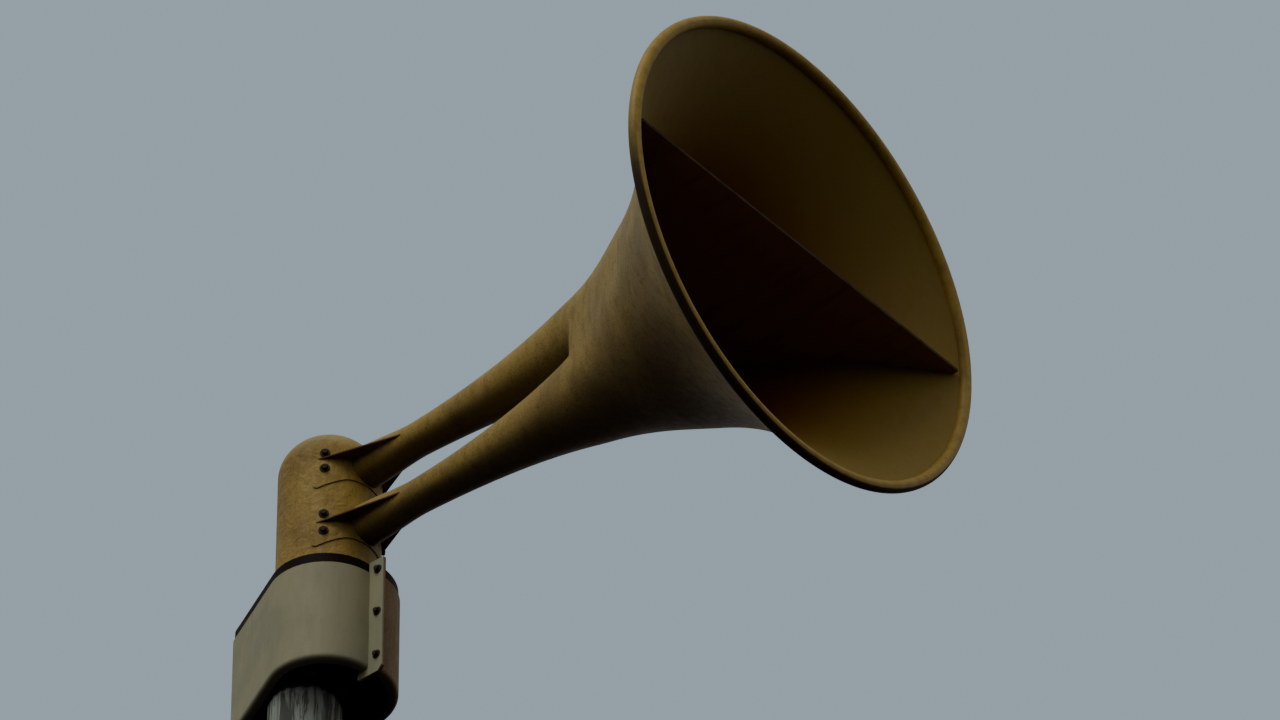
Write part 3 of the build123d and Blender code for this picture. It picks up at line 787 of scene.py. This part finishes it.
class SIREN_OT_horn(bpy.types.Operator):
    """Make the throats and the bell, and finish the rim, splitter, pads and gussets"""

    bl_idname = "siren.horn"
    bl_label = "Horn"

    def execute(self, context):
        """Build each piece from the horn's law, in weathered gelcoat or in gelcoat darkened as
        painted shade.
        """
        horn = settings().horn
        colours = settings().colours
        skin = weathered_gelcoat("ochre_gelcoat", colours.gelcoat, colours.gelcoat_brown)
        mould = partial(build_piece, body="siren_head", slot="horn_gelcoat")
        web, flank, fold = WEB_SHARE, FLANK_SHARE, horn.fold_start
        around = mirrored(joined((0.0, web, 7), (web, flank, 22), (flank, 1.0, 36)))
        stations = joined((PAD_RADIUS - SEAT, fold, 80), (fold, BELL_START, 25))
        for name, side in (("upper_throat", 1), ("lower_throat", -1)):
            outer = grid_of(throat_skin(side, 0.0, 0.0), stations, around)
            inner = grid_of(throat_skin(side, horn.wall, horn.web), stations, around)
            shell = shell_of(outer, inner)
            mould(f"{name}_moulding", shell, skin, replaced=[name], fields=inside_of(shell))
        low, high = BELL_FLANK
        around = mirrored(joined((0.0, low, 40), (low, high, 7), (high, 1.0, 40)))
        stations = np.linspace(BELL_START, BELL_END, 90)
        outer, inner = (grid_of(bell_skin(inset), stations, around) for inset in (0.0, horn.wall))
        shell = shell_of(outer, inner)
        mould("bell_moulding", shell, skin, replaced=["bell"], fields=inside_of(shell))
        wrinkled = weathered_gelcoat(
            "wrinkled_gelcoat", colours.gelcoat, colours.gelcoat_brown, mottling=0.75,
            wrinkle=8 * MM,
        )
        # The near gussets get a dark gelcoat, painted shade under them
        painted_shade = shaded_gelcoat("gusset_shade_gelcoat", colours.gusset)
        rows, around = np.linspace(0.0, 1.0, 13), np.linspace(0.0, 1.0, 241)
        thick = PAD_RADIUS - HOUSING_RADIUS + 1 * MM
        for level, side in (("upper", 1), ("lower", -1)):
            name = f"{level}_gusset_near"
            mould(f"{name}_plate", gusset_skin(side), painted_shade, replaced=[name])
            outer, inner = (grid_of(pad_skin(side, inset), rows, around) for inset in (0.0, thick))
            name = f"{level}_pad"
            mould(f"{name}_plate", shell_of(outer, inner), wrinkled, replaced=[name])
        shade = shaded_gelcoat("splitter_shade_gelcoat", colours.splitter)
        mould("splitter_plate", splitter_skin(), shade, replaced=["splitter"])
        dress(["mouth_rim"], rim_gelcoat(colours.gelcoat, colours.gelcoat_under_shade))
        dress(["upper_gusset_far", "lower_gusset_far"], skin)
        dress(["chopper_housing"], wrinkled)
        return {"FINISHED"}


def hex_fixing(place, direction, flats, head, washer):
    """Grid of a washer and a hexagon head that stand on place and point along direction.

    The head's height and the washer's radius are shares of flats. Rows are rings:
    the washer's foot and top, the head's foot, its shoulder, the chamfered top
    and the middle. A ring is round, or for the head its radius is half the flats
    over the cosine of the angle from the nearest flat's middle.
    """
    turn = np.linspace(0.0, 2.0 * np.pi, 49)
    to_flat = (turn + np.pi / 6) % (np.pi / 3) - np.pi / 6
    hexagon = 0.5 / np.cos(to_flat)
    thick = 0.16
    rings = (
        (0.0, -0.06), (washer, -0.06), (washer, 0.8 * thick), (0.97 * washer, thick),
        (hexagon, thick), (hexagon, thick + 0.86 * head), (0.48, thick + head), (0.0, thick + head),
    )
    radius = flats * np.array([ring + 0.0 * turn for ring, _ in rings])
    up = flats * np.array([height + 0.0 * turn for _, height in rings])
    axis = Vector(direction).normalized()
    side = axis.orthogonal().normalized()
    other = axis.cross(side)
    outward = np.cos(turn)[:, None] * np.array(side) + np.sin(turn)[:, None] * np.array(other)
    return np.array(place) + radius[..., None] * outward + up[..., None] * np.array(axis)


class SIREN_OT_fixings(bpy.types.Operator):
    """Make the bolts of the pads, cover, base plate and motor"""

    bl_idname = "siren.fixings"
    bl_label = "Fixings"

    def execute(self, context):
        """Stand each bolt on the face that it clamps."""
        sizes = settings().fixings
        rust = rusted_steel(settings().colours.bolt)
        axis = Vector((HEAD_X, 0.0, 0.0))
        pads, flanges = [], []
        for side in (-1, 1):
            out, aside = spoke(side * sizes.pad_bolt_angle), (0, side, 0)
            for level in PAD_BOLT_LEVELS:
                place = axis + out * PAD_RADIUS + Vector((0.0, 0.0, HORN_Z + level * MM))
                pads.append(hex_fixing(place, out, sizes.pad_bolt, head=0.62, washer=0.95))
            for level in FLANGE_SCREW_LEVELS:
                place = axis + Vector((sizes.flange_reach, side * FLANGE_FACE, HORN_Z + level * MM))
                flanges.append(hex_fixing(place, aside, sizes.flange_screw, head=0.65, washer=0.95))
        bases, motors = [], []
        # Halfway between the spindle's skin and the plate's edge
        halfway = ((PLATE_HIGH.x - PLATE_LOW.x) + (SPINDLE_HIGH.x - SPINDLE_LOW.x)) / 4
        for angle in np.radians([45, 135, 225, 315]):
            place = spoke(angle) * halfway + Vector((0.0, 0.0, PLATE_HIGH.z))
            bases.append(hex_fixing(place, (0, 0, 1), sizes.base_screw, head=0.6, washer=0.75))
            place = axis + spoke(angle) * MOTOR_SCREW_CIRCLE + Vector((0.0, 0.0, MOTOR_LOW.z))
            motors.append(hex_fixing(place, (0, 0, -1), sizes.motor_screw, head=0.5, washer=1.0))
        build_piece("pad_bolts", pads, rust, "siren_head", "galvanised")
        build_piece("flange_screws", flanges, rust, "siren_head", "galvanised")
        build_piece("base_screws", bases, rust, "mast", "galvanised")
        build_piece("motor_screws", motors, rust, "siren_head", "galvanised")
        return {"FINISHED"}


class SIREN_OT_cover(bpy.types.Operator):
    """Finish the two halves of the machinery cover"""

    bl_idname = "siren.cover"
    bl_label = "Cover"

    def execute(self, context):
        """Give each half its own weathered gelcoat."""
        colours = settings().colours
        beige = weathered_gelcoat("beige_gelcoat", colours.cover, colours.cover_stain, mottling=0.4)
        dress(["cover_near"], beige)
        brown = weathered_gelcoat("brown_gelcoat", colours.cover_far, colours.gelcoat_brown)
        dress(["cover_far"], brown)
        return {"FINISHED"}


class SIREN_OT_machinery(bpy.types.Operator):
    """Finish the deck, the machines and the mount"""

    bl_idname = "siren.machinery"
    bl_label = "Machinery"

    def execute(self, context):
        """Give the deck primer, the machines enamel and the mount dull zinc."""
        colours = settings().colours
        dress(["deck_plate"], weathered_primer(colours.primer))
        enamel = machine_enamel(colours.enamel)
        dress(["siren_motor", "gearmotor", "rotator_gearbox"], enamel)
        zinc = dull_zinc(colours.zinc)
        dress(["base_plate", "spindle", "turntable", "cheek_near", "cheek_far"], zinc)
        return {"FINISHED"}


class SIREN_OT_pole(bpy.types.Operator):
    """Make the timber pole with its drying checks and shallow waves"""

    bl_idname = "siren.pole"
    bl_label = "Pole"

    def execute(self, context):
        """Cut checks into a tapered round surface and close its two ends."""
        sizes = settings().pole
        colours = settings().colours
        timber = weathered_timber(colours.timber, colours.timber_dark, colours.algae)
        top = POLE_HIGH.z
        fine = top - FINE_HEIGHT
        heights = joined((0.0, fine, 110), (fine, top, 81))
        z, angle = np.meshgrid(heights, np.linspace(0.0, 2.0 * np.pi, 385), indexing="ij")
        foot_radius = (POLE_HIGH.x - POLE_LOW.x) / 2
        top_radius = (PLATE_HIGH.x - PLATE_LOW.x) / 2 + PLATE_MARGIN
        radius = foot_radius + (top_radius - foot_radius) * z / top
        chance = np.random.default_rng(11)
        check = np.zeros_like(z)
        for _ in range(sizes.checks):
            start, reach = chance.uniform(-0.5, top), chance.uniform(*CHECK_REACH)
            line = chance.uniform(0.0, 2.0 * np.pi)
            drift = np.sin(z * chance.uniform(0.5, 1.5) + chance.uniform(0, 6))
            line = line + CHECK_DRIFT * drift
            away = np.abs((angle - line + np.pi) % (2.0 * np.pi) - np.pi) * radius
            along = np.clip(1.0 - ((z - start - reach / 2) / (reach / 2)) ** 2, 0.0, 1.0)
            wide = sizes.check_width * chance.uniform(0.5, 1.0)
            crack = np.exp(-(away / wide) ** 2) * np.sqrt(along) * chance.uniform(0.4, 1.0)
            check = np.maximum(check, crack)
        wave = 0.5 + 0.25 * np.sin(7 * angle + 0.8 * z) + 0.25 * np.sin(16 * angle - 1.3 * z + 1.0)
        radius = radius - sizes.check_depth * check - sizes.ripple * wave
        radius = radius - TOP_BEVEL * np.clip((z - top) / TOP_BEVEL + 1.0, 0.0, 1.0)
        ragged = chance.random(63) ** 2
        chip = np.interp(angle, np.linspace(0.0, 2.0 * np.pi, 64), np.append(ragged, ragged[0]))
        z = z - sizes.chip * chip * np.clip((z - top) / CHIPPED_HEIGHT + 1.0, 0.0, 1.0)
        side = np.stack([radius * np.cos(angle), radius * np.sin(angle), z], axis=-1)
        fade = np.linspace(1.0, 0.0, 13)[:, None]
        edge = np.clip(fade * 12 - 11, 0.0, 1.0)
        caps, values = [], [check.ravel()]
        for row, end in ((0, 0.0), (-1, top)):
            x, y, height = side[row].T
            caps.append(np.stack([x * fade, y * fade, end + (height - end) * edge], axis=-1))
            values.append((fade * check[row]).ravel())
        build_piece(
            "timber_pole", [side, *caps], timber, "mast", "pole_wood", replaced=["pole"],
            fields={"check": np.concatenate(values)}, sharp=50.0,
        )
        return {"FINISHED"}


class SIREN_OT_stage(bpy.types.Operator):
    """Make the floor, the soft light, the backdrop and the camera"""

    bl_idname = "siren.stage"
    bl_label = "Stage"

    floor_radius: length("Floor radius", "Radius of the round floor", 4.5)

    def execute(self, context):
        """Light the siren as under an overcast sky and look up at it from eye height."""
        colours = settings().colours
        turn = np.linspace(0.0, 2.0 * np.pi, 97)[:-1]
        ring = self.floor_radius * np.stack([np.cos(turn), np.sin(turn), 0.0 * turn], axis=-1)
        mesh = bpy.data.meshes.new("floor")
        mesh.from_pydata(ring.tolist(), [], [range(len(ring))])
        floor = bpy.data.objects.new("floor", mesh)
        context.scene.collection.objects.link(floor)
        mesh.materials.append(studio_floor(colours.floor))
        self.light_world(context, colours.backdrop)
        self.light_key(context)
        self.place_camera(context)
        return {"FINISHED"}

    def light_world(self, context, backdrop):
        """Bright sky above the horizon, dim ground below it, and a plain colour behind."""
        world = bpy.data.worlds.new("soft_sky")
        context.scene.world = world
        world.use_nodes = True
        world.node_tree.nodes.clear()
        add = partial(add_node, world.node_tree)
        ground, sky = rgba(linear("#14110D")), rgba(linear("#E2E1DC"))
        direction = add("TexCoord", out="Generated")
        height = add("SeparateXYZ", {"Vector": direction}, out="Z")
        share = add("MapRange", {VALUE: height, START: -0.12, END: 0.16}, **SOFT)
        around = add("Mix", {SHARE: share, UNDER: ground, OVER: sky}, **COLOURS)
        seen = add("LightPath", out="Is Camera Ray")
        light = add("Background", {"Color": around, "Strength": 0.55})
        plain = add("Background", {"Color": rgba(backdrop), "Strength": 0.8})
        both = add("MixShader", {0: seen, 1: light, 2: plain})
        add("OutputWorld", {"Surface": both})

    def light_key(self, context):
        """One wide soft light high above the near side."""
        light = bpy.data.lights.new("soft_key", "AREA")
        light.shape = "DISK"
        light.size = 8.0
        light.energy = 640.0
        light.color = linear("#F6F4EC")
        key = bpy.data.objects.new("soft_key", light)
        key.location = KEY_PLACE
        aim = Vector(KEY_AIM) - key.location
        key.rotation_euler = aim.to_track_quat("-Z", "Y").to_euler()
        context.scene.collection.objects.link(key)

    def place_camera(self, context):
        """Stand at eye height ahead of the horn and to its near side, and look up at it."""
        camera = bpy.data.objects.new("camera", bpy.data.cameras.new("camera"))
        camera.data.sensor_width = 36.0
        camera.data.lens = CAMERA_LENS
        right = Vector(CAMERA_RIGHT).normalized()
        ahead = Vector(CAMERA_AHEAD).normalized()
        up = right.cross(ahead).normalized()
        right = ahead.cross(up)
        turn = Matrix((right, up, -ahead)).transposed().to_4x4()
        camera.matrix_world = Matrix.Translation(CAMERA_PLACE) @ turn
        camera.data.clip_start = 0.1
        camera.data.clip_end = 400.0
        context.scene.collection.objects.link(camera)
        context.scene.camera = camera


class SIREN_PT_panel(bpy.types.Panel):
    """Sizes, colours and steps of the siren's looks"""

    bl_idname = "SIREN_PT_panel"
    bl_label = "Siren"
    bl_space_type = "VIEW_3D"
    bl_region_type = "UI"
    bl_category = "Siren"

    def draw(self, context):
        """List every setting and then every step."""
        values = context.scene.siren_settings
        for group in (values.horn, values.fixings, values.pole, values.colours):
            box = self.layout.box()
            for name in group.__annotations__:
                box.prop(group, name)
        for step in STEPS:
            self.layout.operator(step.bl_idname)


STEPS = (
    SIREN_OT_stage, SIREN_OT_pole, SIREN_OT_machinery, SIREN_OT_cover, SIREN_OT_horn,
    SIREN_OT_fixings,
)
GROUPS = (SirenHornSizes, SirenFixingSizes, SirenPoleSizes, SirenColours, SirenSettings)


def register():
    """Register the settings, the steps and the panel."""
    for kind in (*GROUPS, *STEPS, SIREN_PT_panel):
        bpy.utils.register_class(kind)
    bpy.types.Scene.siren_settings = PointerProperty(type=SirenSettings)


def unregister():
    """Take away what register added."""
    del bpy.types.Scene.siren_settings
    for kind in reversed((*GROUPS, *STEPS, SIREN_PT_panel)):
        bpy.utils.unregister_class(kind)


def main():
    """Run every step."""
    register()
    for group, step in (s.bl_idname.split(".") for s in STEPS):
        getattr(getattr(bpy.ops, group), step)()


if __name__ == "__main__":
    main()
